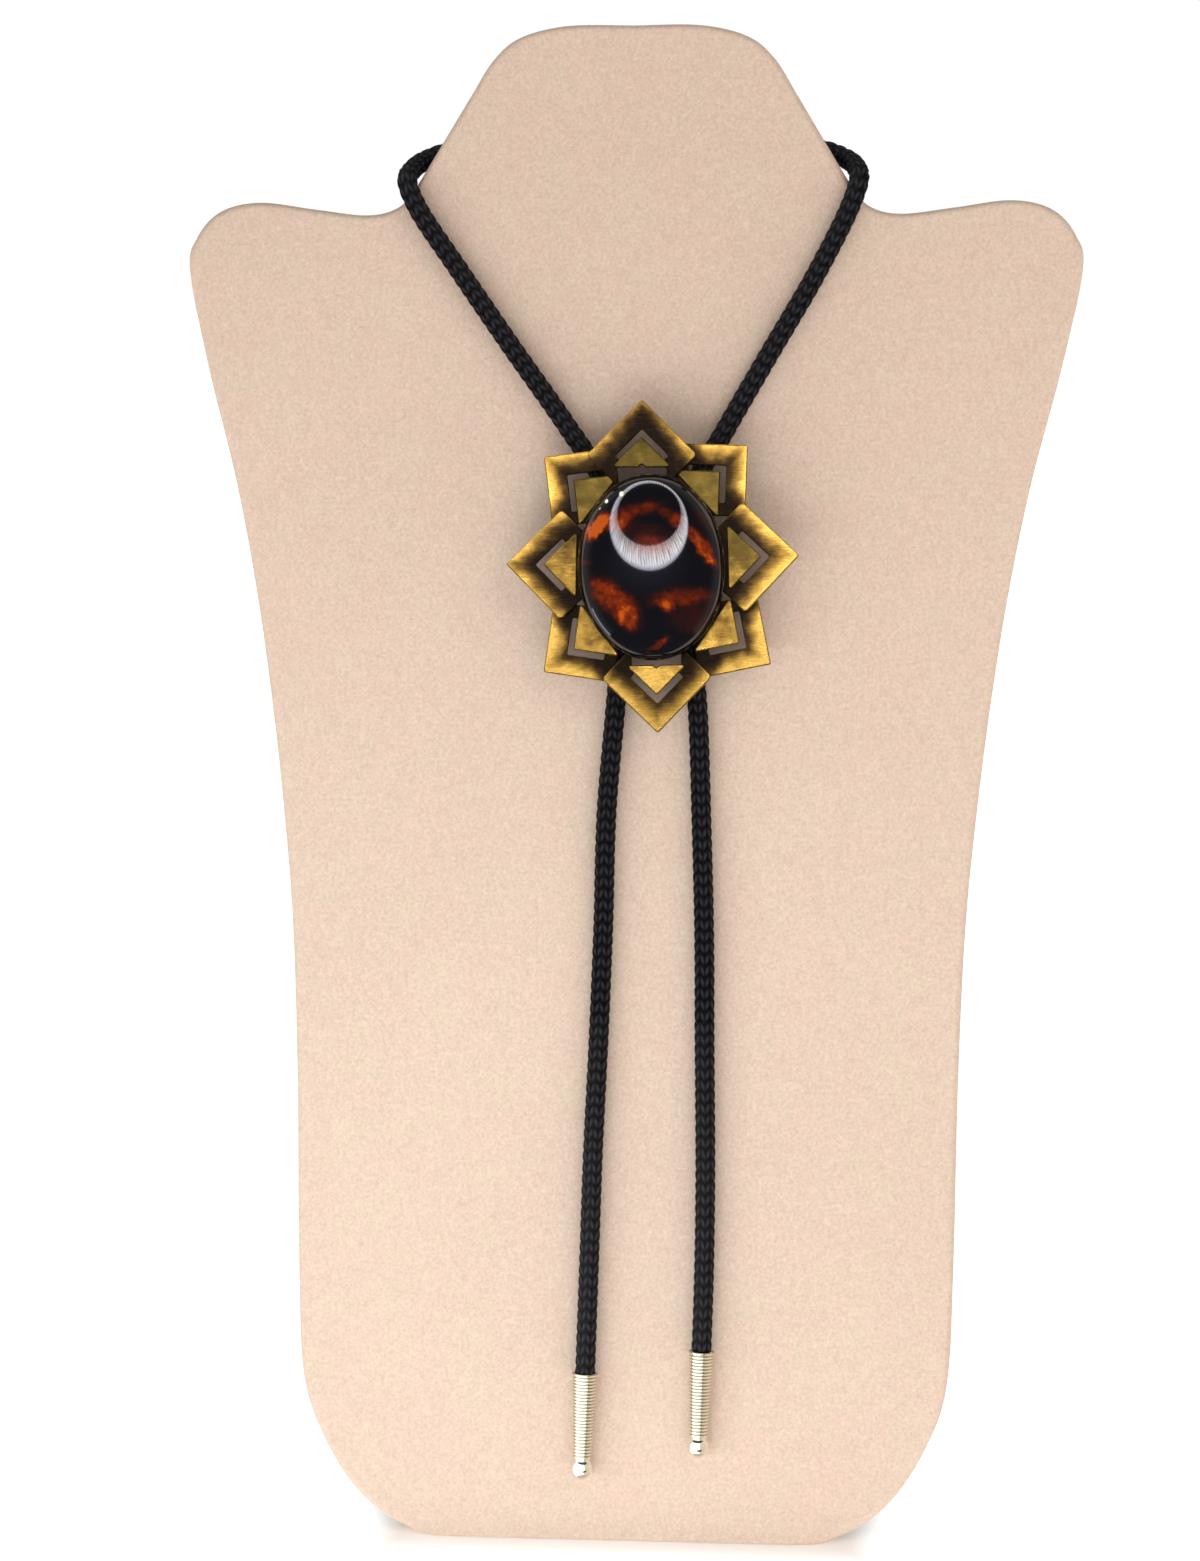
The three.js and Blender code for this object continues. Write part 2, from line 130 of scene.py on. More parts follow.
# Route of the cord's centre from the left tip to the right one.
CORD_ROUTE = [
    (-7.8, 36.7, 2.8), (-7.15, 60, 2.8), (-6.5, 84, 2.8), (-5.5, 108, 2.8), (-4.7, 132, 2.8),
    (-4.2, 156, 2.8), (-2.5, 178, 3), (-1.5, 191, 3.7), (-1.66, 200, 3.85), (-2.36, 215, 3.85),
    (-5.6, 226, 3.5), (-13.3, 237.8, 2.6), (-25, 254.2, 2.5), (-36.5, 270.7, 2.5),
    (-45.6, 284.2, 2.6),
    (-47.9, 289.9, 1.2), (-47.2, 293.2, -3.2), (-45, 295.7, -7.3), (-39.5, 298, -9.3),
    (-22, 299.8, -9.3), (0, 300.4, -9.3), (22, 299.8, -9.3),
    (39.5, 298, -9.3), (45, 295.7, -7.3), (47.2, 293.2, -3.2), (47.9, 289.9, 1.2),
    (45.9, 283.6, 2.6),
    (38.6, 269, 2.5), (29.7, 253.6, 2.5), (20, 236.6, 2.6), (14.3, 226, 3.5),
    (12.65, 215, 3.85), (13.36, 200, 3.85), (13.9, 190, 3.7), (15, 177, 3), (15.9, 155, 2.8),
    (16.7, 131, 2.8), (17, 107, 2.8), (17.4, 80, 2.8), (17.3, 58, 2.8), (16.9, 41.9, 2.8),
]


def place(points):
    """Leaning frame in mm to the row's frame in metres: origin + a·across + u·up + o·out."""
    axes = np.stack([ACROSS, UP, OUT])
    return (np.asarray(points, float) @ axes + ORIGIN) * MM


def turning(angle):
    """Matrix that turns rows of flat places by an angle."""
    cosine, sine = math.cos(angle), math.sin(angle)
    return np.array([(cosine, sine), (-sine, cosine)])


def unit(vectors):
    """Vectors of the same directions, each of length 1."""
    return vectors / np.linalg.norm(vectors, axis=-1, keepdims=True)


def circle(count):
    """Places round a circle of radius 1."""
    angle = np.arange(count) * 2 * np.pi / count
    return np.stack([np.cos(angle), np.sin(angle)], axis=1)


def slide_place(points):
    """Slide's own mm (across, up, out) to the row's frame: turned about its centre, then placed."""
    points = np.asarray(points, float)
    flat = points[..., :2] @ turning(SLIDE_TURN) + (SLIDE_ACROSS, SLIDE_HEIGHT)
    return place(np.concatenate([flat, points[..., 2:]], axis=-1))


# Camera

CAMERA_TARGET = (-5.86, 162.75, 0)
CAMERA_DISTANCE = 700
CAMERA_YAW = math.radians(4.2)
CAMERA_PITCH = math.radians(1.0)
CAMERA_ROLL = math.radians(0.47)
IMAGE_HEIGHT = 1561
PIXELS_PER_MM = 4.7
SENSOR = 36


def make_camera():
    """Camera that looks at the board almost squarely, from a little to the right and above."""
    back = (
        ACROSS * math.sin(CAMERA_YAW) * math.cos(CAMERA_PITCH)
        + UP * math.sin(CAMERA_PITCH)
        + OUT * math.cos(CAMERA_YAW) * math.cos(CAMERA_PITCH)
    )
    right = unit(np.cross(UP, back))
    right, top = turning(CAMERA_ROLL) @ np.stack([right, np.cross(back, right)])
    spot = place([CAMERA_TARGET])[0] + back * CAMERA_DISTANCE * MM
    data = bpy.data.cameras.new("camera")
    data.sensor_width = SENSOR
    data.lens = SENSOR * CAMERA_DISTANCE * PIXELS_PER_MM / IMAGE_HEIGHT
    data.clip_start = 0.01
    camera = bpy.data.objects.new("camera", data)
    axes = np.stack([right, top, back, spot], axis=1).tolist()
    camera.matrix_world = Matrix([*axes, (0, 0, 0, 1)])
    bpy.context.collection.objects.link(camera)
    bpy.context.scene.camera = camera
    return spot


# Meshes from arrays

def fill(items, key, values, kind=np.float32):
    """Sets one property of a mesh's whole collection of items."""
    items.foreach_set(key, np.ascontiguousarray(values, dtype=kind).ravel())


def mesh_object(name, points, loops, starts, smooth=True):
    """Object at the origin from an array of points, the faces' corners in one row, and where each
    face starts in that row."""
    mesh = bpy.data.meshes.new(name)
    mesh.vertices.add(len(points))
    fill(mesh.vertices, "co", points)
    mesh.loops.add(len(loops))
    fill(mesh.loops, "vertex_index", loops, np.int32)
    mesh.polygons.add(len(starts))
    fill(mesh.polygons, "loop_start", starts, np.int32)
    mesh.update(calc_edges=True)
    mesh.validate()
    mesh.polygons.foreach_set("use_smooth", np.full(len(mesh.polygons), smooth))
    made = bpy.data.objects.new(name, mesh)
    bpy.context.collection.objects.link(made)
    return made


def add_map(made, name, corners):
    """Gives an object a map, with a place for each corner of its faces."""
    fill(made.data.uv_layers.new(name=name).data, "uv", corners)


def strip_quads(here, ahead):
    """Faces between the rows of a grid of numbered places; ahead is each place's neighbour."""
    return np.stack([here[:-1], ahead[:-1], ahead[1:], here[1:]], axis=-1).reshape(-1, 4)


def skin(name, rings, smooth=True, pattern=None):
    """Closed body over a grid of rings. Face (i, j) joins ring i to ring i + 1 and place j to j + 1
    round the ring, and one flat face closes each end. The corners' order is turned round where the
    body's volume, a sum of point times face normal, comes out negative. pattern gives each
    ring's height in the piece's own map, which is 1 wide."""
    rows, columns = rings.shape[:2]
    points = rings.reshape(-1, 3)
    here = np.arange(rows * columns).reshape(rows, columns)
    quads = strip_quads(here, np.roll(here, -1, axis=1))
    corners = points[quads]
    normals = np.cross(corners[:, 2] - corners[:, 0], corners[:, 3] - corners[:, 1])
    volume = np.sum((corners.mean(axis=1) - points.mean(axis=0)) * normals)
    ends = [here[0][::-1], here[-1]]
    if volume < 0:
        quads = quads[:, ::-1]
        ends = [end[::-1] for end in ends]
    loops = np.concatenate([quads.ravel(), *ends])
    starts = np.concatenate([
        np.arange(len(quads)) * 4,
        [quads.size, quads.size + columns],
    ])
    made = mesh_object(name, points, loops, starts, smooth)
    if pattern is not None:
        column = np.arange(columns)
        first = np.broadcast_to(column, (rows - 1, columns))
        last = first + 1
        low = np.broadcast_to(pattern[:-1, None], (rows - 1, columns))
        high = np.broadcast_to(pattern[1:, None], (rows - 1, columns))
        map_u = np.stack([first, last, last, first], axis=-1) / columns
        map_v = np.stack([low, low, high, high], axis=-1)
        places = np.stack([map_u, map_v], axis=-1).reshape(-1, 4, 2)
        if volume < 0:
            places = places[:, ::-1]
        ends = np.zeros((2 * columns, 2))
        add_map(made, "strands", np.concatenate([places.reshape(-1, 2), ends]))
    return made


def dress(piece, node):
    """Makes a piece ride the part, in the place of a node, whose own mesh it hides."""
    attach(piece, "root")
    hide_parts(node)
    return piece


def cubic(start, finish, leave, reach, steps):
    """Places on the cubics from start to finish whose end slopes are leave and reach, steps to
    each span."""
    share = (np.arange(steps) / steps)[None, :, None]
    start, finish, leave, reach = (part[:, None, :] for part in (start, finish, leave, reach))
    curve = (
        start + leave * share
        + (3 * (finish - start) - 2 * leave - reach) * share ** 2
        + (2 * (start - finish) + leave + reach) * share ** 3
    )
    return curve.reshape(-1, curve.shape[-1])


def spline(points, steps):
    """Centripetal Catmull-Rom curve: each span's end slopes come from the square roots of the
    distances to the neighbouring points."""
    points = np.asarray(points, float)
    padded = np.vstack([2 * points[0] - points[1], points, 2 * points[-1] - points[-2]])
    before, start, finish, after = padded[:-3], padded[1:-2], padded[2:-1], padded[3:]
    gap = [
        np.sqrt(np.linalg.norm(second - first, axis=1))[:, None]
        for first, second in ((before, start), (start, finish), (finish, after))
    ]
    leave = (start - before) / gap[0] - (finish - before) / (gap[0] + gap[1])
    leave = (leave + (finish - start) / gap[1]) * gap[1]
    reach = (finish - start) / gap[1] - (after - start) / (gap[1] + gap[2])
    reach = (reach + (after - finish) / gap[2]) * gap[1]
    return np.vstack([cubic(start, finish, leave, reach, steps), points[-1:]])


def even_steps(line, step):
    """Places a fixed length apart along a line, and that length as the line's run."""
    lengths = np.concatenate([[0], np.cumsum(np.linalg.norm(np.diff(line, axis=0), axis=1))])
    run = np.linspace(0, lengths[-1], int(round(lengths[-1] / step)) + 1)
    return np.stack([np.interp(run, lengths, line[:, axis]) for axis in range(3)], axis=1), run


def carried_axes(line):
    """Two axes square to a line at each place, carried along it without spin: the first is the
    one before less its part along the new direction."""
    ahead = unit(np.gradient(line, axis=0))
    side = np.empty_like(line)
    guess = np.array([1.0, 0, 0])
    for index, direction in enumerate(ahead):
        guess = unit(guess - direction * np.dot(guess, direction))
        side[index] = guess
    return np.stack([side, np.cross(ahead, side)], axis=1)


# Cord

CORD_SAMPLES_AROUND = 42
CORD_STEP = 0.31
ROUTE_STEPS = 24
STRAND_SWELL = 0.04
WALES = 6
STITCH = 2.42
STITCH_SLANT = 0.55
STITCH_DEPTH = 0.38


def stitch_height(around, along):
    """Knitted round cord, 0 in the grooves to 1 on the strands. Each wale is a column of chevrons:
    the stitch's phase is the run over its length plus the slant times the distance from the wale's
    middle, and the strand's height is a half sine across the stitch, lowered at the wale's middle
    and edges."""
    across = np.abs((around * WALES) % 1 - 0.5) * 2
    phase = (along / STITCH + STITCH_SLANT * across) % 1
    strand = np.sin(np.pi * phase) ** 0.6
    leg = np.sin(np.pi * across) ** 0.45
    return strand * (0.35 + 0.65 * leg)


def make_cord():
    """Round knitted cord: rings square to the route, of the cord's radius less the stitch's depth
    times one minus its height."""
    line, run = even_steps(spline(CORD_ROUTE, ROUTE_STEPS), CORD_STEP)
    turn = np.arange(CORD_SAMPLES_AROUND) / CORD_SAMPLES_AROUND
    height = stitch_height(turn, run[:, None])
    radius = CORD_DIAMETER / 2 + STRAND_SWELL - STITCH_DEPTH * (1 - height)
    around = circle(CORD_SAMPLES_AROUND) @ carried_axes(line)
    rings = line[:, None] + radius[..., None] * around
    cord = skin("braided_cord", place(rings), pattern=run / STITCH)
    return dress(cord, "cord"), line, run


# Tips

TIP_SAMPLES_AROUND = 72
RIDGE_SAMPLES = 10
TIP_FLARE = 0.1
TIP_NECK = 0.35
BALL_STEPS = 28


def make_tip(name, node, end, before):
    """Tip turned about the cord's end. Its profile narrows steadily from the mouth with one raised
    cosine ridge after another, then turns into a ball; the mouth is a short socket."""
    end, before = np.asarray(end, float), np.asarray(before, float)
    upward = unit(before - end)
    mouth, narrow = TIP_MOUTH_DIAMETER / 2, TIP_END_DIAMETER / 2
    ball = TIP_BALL_DIAMETER / 2
    depth = np.linspace(0, TIP_RIDGED_LENGTH, TIP_RIDGES * RIDGE_SAMPLES + 1)
    ridge = np.abs(np.sin(np.pi * depth * TIP_RIDGES / TIP_RIDGED_LENGTH)) ** 0.6
    taper = mouth + (narrow - mouth) * depth / TIP_RIDGED_LENGTH
    body = np.stack([taper - TIP_RIDGE_DEPTH * (1 - ridge), depth], axis=1)
    neck = math.asin(narrow / ball * 0.8)
    turn = np.linspace(neck, math.pi - 0.03, BALL_STEPS)
    centre = TIP_RIDGED_LENGTH + TIP_NECK + ball * math.cos(neck)
    knob = np.stack([ball * np.sin(turn), centre - ball * np.cos(turn)], axis=1)
    bore = CORD_DIAMETER / 2 + 0.05
    flare = mouth + TIP_FLARE
    socket = np.array([
        (0.05, 1.6), (bore, 1.5), (bore, 0.25), (bore + 0.12, -0.02), (flare - 0.16, -0.1),
        (flare - 0.04, -0.06), (flare, 0.06), (flare - 0.05, 0.2), (mouth + 0.02, 0.38),
    ])
    body = body[body[:, 1] > 0.5]
    profile = np.vstack([socket, body, knob])
    side = unit(np.cross(upward, [0, 0, 1.0]))
    around = circle(TIP_SAMPLES_AROUND) @ np.stack([side, np.cross(upward, side)])
    along = end + upward * 0.05 - profile[:, 1, None, None] * upward
    rings = along + profile[:, 0, None, None] * around
    ridges = profile[:, 1] * TIP_RIDGES / TIP_RIDGED_LENGTH
    ridges[profile[:, 1] > TIP_RIDGED_LENGTH - 0.2] = TIP_RIDGES - 0.5
    tip = skin(name, place(rings), pattern=ridges)
    return dress(tip, node)


# Board

OUTLINE_STEPS = 10


def half_outline():
    """Uniform Catmull-Rom curve through the outline's points."""
    table = np.array(HALF_OUTLINE) * [BOARD_WIDTH / 2, BOARD_HEIGHT]
    padded = np.vstack([table[:1], table, table[-1:]])
    before, start, finish, after = padded[:-3], padded[1:-2], padded[2:-1], padded[3:]
    curve = cubic(start, finish, (finish - before) / 2, (after - start) / 2, OUTLINE_STEPS)
    return np.vstack([curve, table[-1:]])


def board_rings(section):
    """Outline drawn in by each section point's inset, at that point's depth, and lifted where it
    would pass below the table."""
    half = half_outline()
    ring = np.vstack([half, (half[1:-1] * [-1, 1])[::-1]])
    tangent = np.roll(ring, -1, axis=0) - np.roll(ring, 1, axis=0)
    inward = unit(np.stack([tangent[:, 1], -tangent[:, 0]], axis=1))
    section = np.asarray(section, float)
    flat = ring[None] + section[:, 0, None, None] * inward[None]
    depth = np.broadcast_to(section[:, 1, None], flat.shape[:2])
    floor = FOOT_TRIM - depth * math.tan(LEAN)
    return np.stack([flat[..., 0], np.maximum(flat[..., 1], floor), depth], axis=-1)


def make_board():
    """Velour board: a flat face, a rounded edge of quarter circles front and back, a flat back."""
    turn = np.linspace(0, np.pi / 2, 7)
    edge = BOARD_EDGE_ROUND
    front = np.stack([edge * (1 - np.sin(turn)), edge * (np.cos(turn) - 1)], axis=1)
    back = np.stack([front[::-1, 0], -BOARD_THICKNESS - front[::-1, 1]], axis=1)
    flat = edge + 0.6
    section = np.vstack([(flat, 0), front, back, (flat, -BOARD_THICKNESS)])
    board = skin("velour_board", place(board_rings(section)))
    return dress(board, "display_board")


# Stars

HUB_SAMPLES = 72


def rounded_loop(corners, radii, steps=6):
    """Outline with each corner rounded, and its normals towards the metal, which lies on the left
    of the way round. A corner's arc has its centre at the corner plus the turn's side times the
    radius over the half angle's cosine, and an inset outline is the places plus inset times the
    normals."""
    corners = np.asarray(corners, float)
    ahead = unit(np.roll(corners, -1, axis=0) - corners)
    before = np.roll(ahead, 1, axis=0)
    left = [np.stack([-way[:, 1], way[:, 0]], axis=1) for way in (before, ahead)]
    dot = np.sum(before * ahead, axis=1)
    turn = np.arctan2(before[:, 0] * ahead[:, 1] - before[:, 1] * ahead[:, 0], dot)
    reach = (np.sign(turn) * radii)[:, None]
    centre = corners + reach * (left[0] + left[1]) / (1 + dot)[:, None]
    first = np.arctan2(left[0][:, 1], left[0][:, 0])
    angle = first[:, None] + turn[:, None] * np.linspace(0, 1, steps)
    normals = np.stack([np.cos(angle), np.sin(angle)], axis=-1)
    places = centre[:, None] - reach[:, None] * normals
    return places.reshape(-1, 2), normals.reshape(-1, 2)


def plate_section(low, high, upper, lower):
    """Inset and level up a plate's edge: quarter circles below and above, and a narrow flat step
    at each end that keeps the faces flat."""
    turn = np.linspace(0, np.pi / 2, 5)
    below = np.stack([lower * (1 - np.sin(turn)), low + lower * (1 - np.cos(turn))], axis=1)
    above = np.stack([upper * (1 - np.cos(turn)), high - upper * (1 - np.sin(turn))], axis=1)
    return np.vstack([[(lower + 0.05, low)], below, above, [(upper + 0.05, high)]])


def plate_body(loops, section):
    """Plate between outlines that share its metal: each outline is swept up the section, and the
    flat faces are filled between them. The last value says how rubbed each place is, 1 on the
    upper edges."""
    rows = len(section)
    points, rub, quads, triangles = [], [], [], []
    first = 0
    rounded = (section[:, 0] < section[-2, 0] * 0.9) & (section[:, 1] > section[:, 1].mean())
    for places, normals in loops:
        count = len(places)
        rings = np.concatenate([
            places[None] + section[:, 0, None, None] * normals[None],
            np.broadcast_to(section[:, 1, None, None], (rows, count, 1)),
        ], axis=-1)
        here = first + np.arange(rows * count).reshape(rows, count)
        quads.append(strip_quads(here, np.roll(here, -1, axis=1)))
        points.append(rings.reshape(-1, 3))
        rub.append(np.repeat(rounded, count))
        first += rows * count
    counts = [len(places) for places, normals in loops]
    bases = np.concatenate([[0], np.cumsum([rows * count for count in counts])])[:-1]
    for row, upward in ((rows - 1, True), (0, False)):
        index = np.concatenate([
            base + row * count + np.arange(count) for base, count in zip(bases, counts)
        ])
        outlines = [
            [Vector((*place_, 0)) for place_ in places + section[row, 0] * normals]
            for places, normals in loops
        ]
        flat = np.array([tuple(corner) for outline in outlines for corner in outline])
        filled = np.array(tessellate_polygon(outlines))
        a, b, c = (flat[filled[:, corner]] for corner in range(3))
        area = (b - a)[:, 0] * (c - a)[:, 1] - (b - a)[:, 1] * (c - a)[:, 0]
        wrong = (area > 0) != upward
        filled[wrong] = filled[wrong][:, ::-1]
        triangles.append(index[filled])
    return np.vstack(points), np.concatenate(rub), np.vstack(quads), np.vstack(triangles)


def petal_point(from_left, from_right):
    """Place in a petal's frame from its distances from the two outer edges. The outer corner is
    the origin and the hub lies on the negative side."""
    return (-(from_left + from_right) * math.sqrt(0.5), (from_right - from_left) * math.sqrt(0.5))


def petal_bodies(side, level, windowed):
    """A petal's slotted plate and its raised triangle."""
    leg = TRIANGLE_LEG if windowed else CLOSED_TRIANGLE_LEG
    low = petal_point(TRIANGLE_INSET + leg, TRIANGLE_INSET)
    base, half = low[0], WINDOW_WIDTH / 2
    inner, reach = BAND + SLOT_WIDTH, BAND + SLOT_LENGTH
    hub, notch = [petal_point(side, side)], []
    if windowed:
        far, dip = hub[0][0] + half, (base + NOTCH_DEPTH, 0)
        hub = [(far, half), (base, half), dip, (base, -half), (far, -half)]
        notch = [(base, NOTCH_WIDTH / 2), dip, (base, -NOTCH_WIDTH / 2)]
    outline = [(0, 0), petal_point(0, side), *hub, petal_point(side, 0)]
    plate = rounded_loop(outline, [0.5, 0.9, *[0.3] * len(hub), 0.9])
    slot = rounded_loop([
        petal_point(BAND, BAND), petal_point(reach, BAND), petal_point(reach, inner),
        petal_point(inner, inner), petal_point(inner, reach), petal_point(BAND, reach),
    ], [0.35] * 6)
    corners = [petal_point(TRIANGLE_INSET, TRIANGLE_INSET), (low[0], -low[1]), *notch, low]
    triangle = rounded_loop(corners, [0.4, 0.45, *[0.3] * len(notch), 0.45])
    top = level + PLATE
    return [
        plate_body([plate, slot], plate_section(level, top, 0.24, 0.1)),
        plate_body([triangle], plate_section(top - 0.2, top + RAISE, 0.26, 0.05)),
    ]


def oval_body(semi_axes, low, high):
    """Plain oval plate between two levels."""
    rim = circle(HUB_SAMPLES)
    return plate_body([(rim * semi_axes, -rim)], plate_section(low, high, 0.15, 0.1))


def make_star(name, node, petals, side, level):
    """Star of petals round an oval hub. The front star also stands on a low boss."""
    still = np.eye(2), (0, 0)
    bodies = [(oval_body(HUB_SEMI_AXES, level, level + PLATE - 0.01), *still)]
    if node == "front_star":
        foot = REAR_STAR_LEVEL + PLATE + GAP
        bodies.append((oval_body(BOSS_SEMI_AXES, foot, level + PLATE / 2), *still))
    for x, y, degrees, windowed in petals:
        turn = turning(math.radians(degrees))
        bodies += [(body, turn, (x, y)) for body in petal_bodies(side, level, windowed)]
    points, rub, quads, triangles = [], [], [], []
    first = 0
    for (own, own_rub, own_quads, own_triangles), turn, corner in bodies:
        placed = own.copy()
        placed[:, :2] = own[:, :2] @ turn + corner
        points.append(placed)
        rub.append(own_rub)
        quads.append(own_quads + first)
        triangles.append(own_triangles + first)
        first += len(own)
    quads, triangles = np.vstack(quads), np.vstack(triangles)
    loops = np.concatenate([quads.ravel(), triangles.ravel()])
    starts = np.concatenate([
        np.arange(len(quads)) * 4, quads.size + np.arange(len(triangles)) * 3,
    ])
    star = mesh_object(name, slide_place(np.vstack(points)), loops, starts)
    fill(star.data.attributes.new("rub", "FLOAT", "POINT").data, "value", np.concatenate(rub))
    return dress(star, node)


# Stone and cup

OVAL_SAMPLES = 160


def oval_rings(profile):
    """Rings of an oval plan: each profile row gives the half-widths along x and y and the level."""
    profile = np.asarray(profile, float)[:, None]
    rims = circle(OVAL_SAMPLES) * profile[..., :2]
    levels = np.broadcast_to(profile[..., 2:], (*rims.shape[:2], 1))
    return np.concatenate([rims, levels], axis=-1)


def make_stone():
    """High oval dome: a quarter ellipse over a short straight girdle with a softened lower edge."""
    semi_x, semi_y = STONE_SEMI_X, STONE_SEMI_Y
    turn = np.linspace(0, np.pi / 2 - 0.004, 48)
    crown = np.stack([
        semi_x * np.cos(turn),
        semi_y * np.cos(turn),
        STONE_GIRDLE + STONE_RISE * np.sin(turn),
    ], axis=1)
    foot = [(semi_x - 0.4, semi_y - 0.4, 0), (semi_x, semi_y, 0.4), (semi_x, semi_y, 1.4)]
    profile = np.vstack([foot, crown])
    profile[:, 2] += STONE_LEVEL
    stone = skin("tortoiseshell_cabochon", slide_place(oval_rings(profile)))
    return dress(stone, "cabochon")


def make_cup():
    """Thin oval cup, its rim rounded and leaning in on to the stone."""
    outer_x, outer_y = CUP_SEMI_X, CUP_SEMI_Y
    top = CUP_HEIGHT
    steps = [
        (2.0, 0), (0.25, 0), (0.05, 0.12), (0, 0.3), (0, top - 0.6), (0.03, top - 0.35),
        (0.1, top - 0.1), (0.18, top), (0.27, top - 0.05), (0.35, top - 0.25), (0.36, top - 0.6),
        (0.36, 1.0), (2.0, 1.0),
    ]
    profile = [(outer_x - inset, outer_y - inset, CUP_LEVEL + level) for inset, level in steps]
    cup = skin("bezel_ring", slide_place(oval_rings(profile)))
    return dress(cup, "bezel_cup")


# Materials

class Maths:
    """A socket of a material's node tree. Arithmetic on it adds Math nodes, and add() makes any
    other node."""

    def __init__(self, tree, socket=None):
        self.tree, self.socket = tree, socket

    def add(self, kind, settings=None, values=(), out=0):
        """A new node of that type, named without its ShaderNode, with its settings set first,
        then its sockets' values or links; gives the chosen output."""
        node = self.tree.nodes.new("ShaderNode" + kind)
        for key, value in (settings or {}).items():
            if key == "stops":
                ramp = node.color_ramp
                while len(ramp.elements) < len(value):
                    ramp.elements.new(0.5)
                for element, (spot, color) in zip(ramp.elements, value):
                    element.position = spot
                    element.color = (*color, 1)
            else:
                setattr(node, key, value)
        pairs = values.items() if isinstance(values, dict) else enumerate(values)
        for key, value in pairs:
            if isinstance(value, Maths):
                self.tree.links.new(value.socket, node.inputs[key])
            else:
                node.inputs[key].default_value = value
        return Maths(self.tree, node.outputs[out] if len(node.outputs) else None)

    def math(self, operation, *values):
        return self.add("Math", {"operation": operation}, values)

    def vector(self, operation, values, out=0):
        """A Vector Math node."""
        return self.add("VectorMath", {"operation": operation}, values, out)

    def __add__(self, other):
        return self.math("ADD", self, other)

    __radd__ = __add__

    def __sub__(self, other):
        return self.math("SUBTRACT", self, other)

    def __rsub__(self, other):
        return self.math("SUBTRACT", other, self)

    def __mul__(self, other):
        return self.math("MULTIPLY", self, other)

    __rmul__ = __mul__

    def __neg__(self):
        return self.math("MULTIPLY", self, -1.0)

    def apply(self, operation):
        """This value through an operation on one value, such as SINE."""
        return self.math(operation, self)

    def parts(self):
        """This vector's x, y and z."""
        outputs = self.add("SeparateXYZ", {}, (self,)).socket.node.outputs
        return [Maths(self.tree, output) for output in outputs]

    def least(self, other):
        return self.math("MINIMUM", self, other)

    def most(self, other):
        return self.math("MAXIMUM", self, other)

    def above(self, other):
        return self.math("GREATER_THAN", self, other)

    def ease(self, low, high):
        """0 below low to 1 above high, smoothly."""
        settings = {"interpolation_type": "SMOOTHSTEP"}
        return self.add("MapRange", settings, {0: self, 1: low, 2: high})

    def blend(self, first, second):
        """Colour that goes from first to second as this value goes from 0 to 1."""
        settings = {"data_type": "RGBA"}
        return self.add("Mix", settings, {0: self, 6: rgba(first), 7: rgba(second)}, 2)

    def tint(self, color):
        """This colour times another."""
        settings = {"data_type": "RGBA", "blend_type": "MULTIPLY"}
        return self.add("Mix", settings, {0: 1.0, 6: self, 7: rgba(color)}, 2)

    def ramp(self, stops):
        """Colour for this value, from the stops of a ramp."""
        return self.add("ValToRGB", {"stops": stops}, (self,))

    def noise(self, scale, detail=3.0, roughness=0.55, out=0):
        """Noise at this place; scale is in bumps for each unit of the place."""
        values = {"Vector": self, "Scale": scale, "Detail": detail, "Roughness": roughness}
        return self.add("TexNoise", {}, values, out)

    def bump(self, strength, distance):
        """Relief of this height, its distance in metres."""
        values = {"Height": self, "Strength": strength, "Distance": distance}
        return self.add("Bump", {}, values)


def rgba(color):
    """A colour as a socket takes it."""
    return color if isinstance(color, Maths) else (*color, 1)


def new_material(name):
    """Material with an empty tree, and its Maths start."""
    material = bpy.data.materials.new(name)
    material.use_nodes = True
    material.node_tree.nodes.clear()
    return material, Maths(material.node_tree)


def millimetres(start):
    """Place on the piece in millimetres."""
    spot = start.add("TexCoord", out=3)
    return start.vector("SCALE", {0: spot, 3: 1 / MM})


def finish_material(start, values):
    """Principled surface with these sockets, joined to the output."""
    shader = start.add("BsdfPrincipled", {}, values)
    start.add("OutputMaterial", {}, {"Surface": shader})


def give(made, material):
    """Makes a material the object's only one."""
    made.data.materials.clear()
    made.data.materials.append(material)


def card_material():
    """Dark backing card with a faint fibrous mottle."""
    material, start = new_material("dark_card")
    spot = millimetres(start)
    fibres = spot.noise(1.4, 5)
    color = fibres.blend((0.016, 0.015, 0.014), (0.034, 0.031, 0.029))
    finish_material(start, {
        "Base Color": color, "Roughness": fibres * 0.25 + 0.65,
        "Normal": fibres.bump(0.25, 0.0001),
    })
    return material


